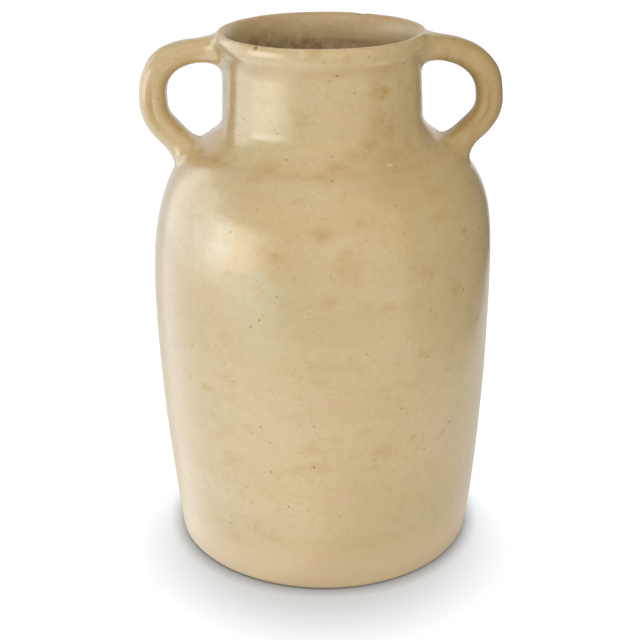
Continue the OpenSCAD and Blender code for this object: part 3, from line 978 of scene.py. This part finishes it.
sweep = bpy.data.materials.new("white_sweep")
shade = clean_tree(sweep)
lift = background_level(shade, 0.16, 0.47)
paper = add_node(shade, "ShaderNodeBsdfDiffuse", {"Color": linear("#B7BBC2")})
# The glow is dimmed by ambient occlusion next to the foot: a painted contact shadow
corner = add_node(shade, "ShaderNodeAmbientOcclusion", {"Distance": 9 * mm}, samples=8).outputs["AO"]
crevice = add_node(shade, "ShaderNodeMath", {0: corner, 1: 1.1}, operation="POWER")
level = add_node(shade, "ShaderNodeMath", {0: lift, 1: crevice}, operation="MULTIPLY")
glow = add_node(shade, "ShaderNodeEmission", {"Color": white, "Strength": level})
lit = add_node(shade, "ShaderNodeAddShader", {0: paper, 1: glow})
add_node(shade, "ShaderNodeOutputMaterial", {"Surface": lit})
floor.data.materials.append(sweep)

flag_x = 0.3
flag_corners = ((-0.25, 0.02), (0.48, 0.02), (0.48, 0.9), (-0.25, 0.9))
flag = sketch("flag", [(flag_x, y, z) for y, z in flag_corners], faces=[(0, 1, 2, 3)])
flag.visible_camera = False
flag.visible_diffuse = False
flag.visible_shadow = False
felt = bpy.data.materials.new("grey_felt")
shade = clean_tree(felt)
nap = add_node(shade, "ShaderNodeBsdfDiffuse", {"Color": linear("#4A4845"), "Roughness": 0.6})
add_node(shade, "ShaderNodeOutputMaterial", {"Surface": nap})
flag.data.materials.append(felt)

room = bpy.data.worlds.new("white_room")
scene.world = room
shade = clean_tree(room)
sky = add_node(shade, "ShaderNodeBackground", {"Color": white, "Strength": background_level(shade, 0.3, 1.0)})
add_node(shade, "ShaderNodeOutputWorld", {"Surface": sky})


def set_light(name, kind, place, turned, energy, lit_objects, **settings):
    """A lamp that lights some objects only and isn't seen itself; angles are in degrees."""
    lamp = bpy.data.lights.new(name, kind)
    lamp.energy = energy
    for setting, value in settings.items():
        setattr(lamp, setting, value)
    stand = put(name, lamp)
    stand.location = place
    stand.rotation_euler = [math.radians(a) for a in turned]
    stand.visible_camera = False
    group = bpy.data.collections.new(name + "_lights")
    for lit_object in lit_objects:
        group.objects.link(lit_object)
    stand.light_linking.receiver_collection = group
    return stand


set_light("overhead", "SUN", (0, 0.2, 1.5), (-10, 0, 0), 3.05, [floor], angle=math.radians(20))
soft_lights = (
    # place and turn, then width and height in metres and watts; they light the clay but leave no gloss
    ("front_soft", (0.3, -1.6, 0.42), (80.6, 0, 10.6), 1.6, 0.78, 9.5),
    ("top_soft", (-0.3, -0.42, 1.65), (20.2, 0, -35.5), 1.2, 1.2, 9.6),
    ("back_soft", (0.5, 1.5, 0.6), (74.1, 0, 161.6), 1.4, 0.8, 5.5),
)
for name, place, turned, wide, tall, watts in soft_lights:
    box = set_light(name, "AREA", place, turned, watts, pieces, shape="RECTANGLE", size=wide, size_y=tall)
    box.visible_glossy = False
reflectors = (
    # place and turn, width and height in metres, how bright it is against white, and how far it fades
    # from its left, right, lower and upper side as a share of its width or height
    ("window_left", (-0.823, -0.619, 0.3), (90, 0, -66.4), 1.10, 0.6, 5.2, (0.05, 0.62, 0.2, 0.3)),
    ("wing_left", (-0.895, 0.348, 0.5), (90, 0, -106.4), 1.0, 1.0, 2.5, (0.28, 0.04, 0.04, 0.3)),
    ("table_left", (-0.789, -0.287, 0.002), (180, 0, 135), 1.32, 1.39, 1.8, (0.21, 0.1, 0.2, 0.02)),
)
for name, place, turned, wide, tall, bright, fades in reflectors:
    panel = set_light(name, "AREA", place, turned, bright * math.pi * wide * tall, pieces,
                      shape="RECTANGLE", size=wide, size_y=tall)
    panel.visible_diffuse = False
    shade = clean_tree(panel.data)
    spot = add_node(shade, "ShaderNodeNewGeometry").outputs["Parametric"]
    axes = add_node(shade, "ShaderNodeSeparateXYZ", {0: spot}).outputs
    strength = 1.0
    for edge, fade in enumerate(fades):
        far_side = edge % 2
        fading = add_node(shade, "ShaderNodeMapRange",
                          {"Value": axes[edge // 2], "From Min": far_side,
                           "From Max": 1 - fade if far_side else fade}, interpolation_type="SMOOTHSTEP")
        strength = add_node(shade, "ShaderNodeMath", {0: fading, 1: strength}, operation="MULTIPLY")
    glow = add_node(shade, "ShaderNodeEmission", {"Color": white, "Strength": strength})
    add_node(shade, "ShaderNodeOutputLight", {"Surface": glow})
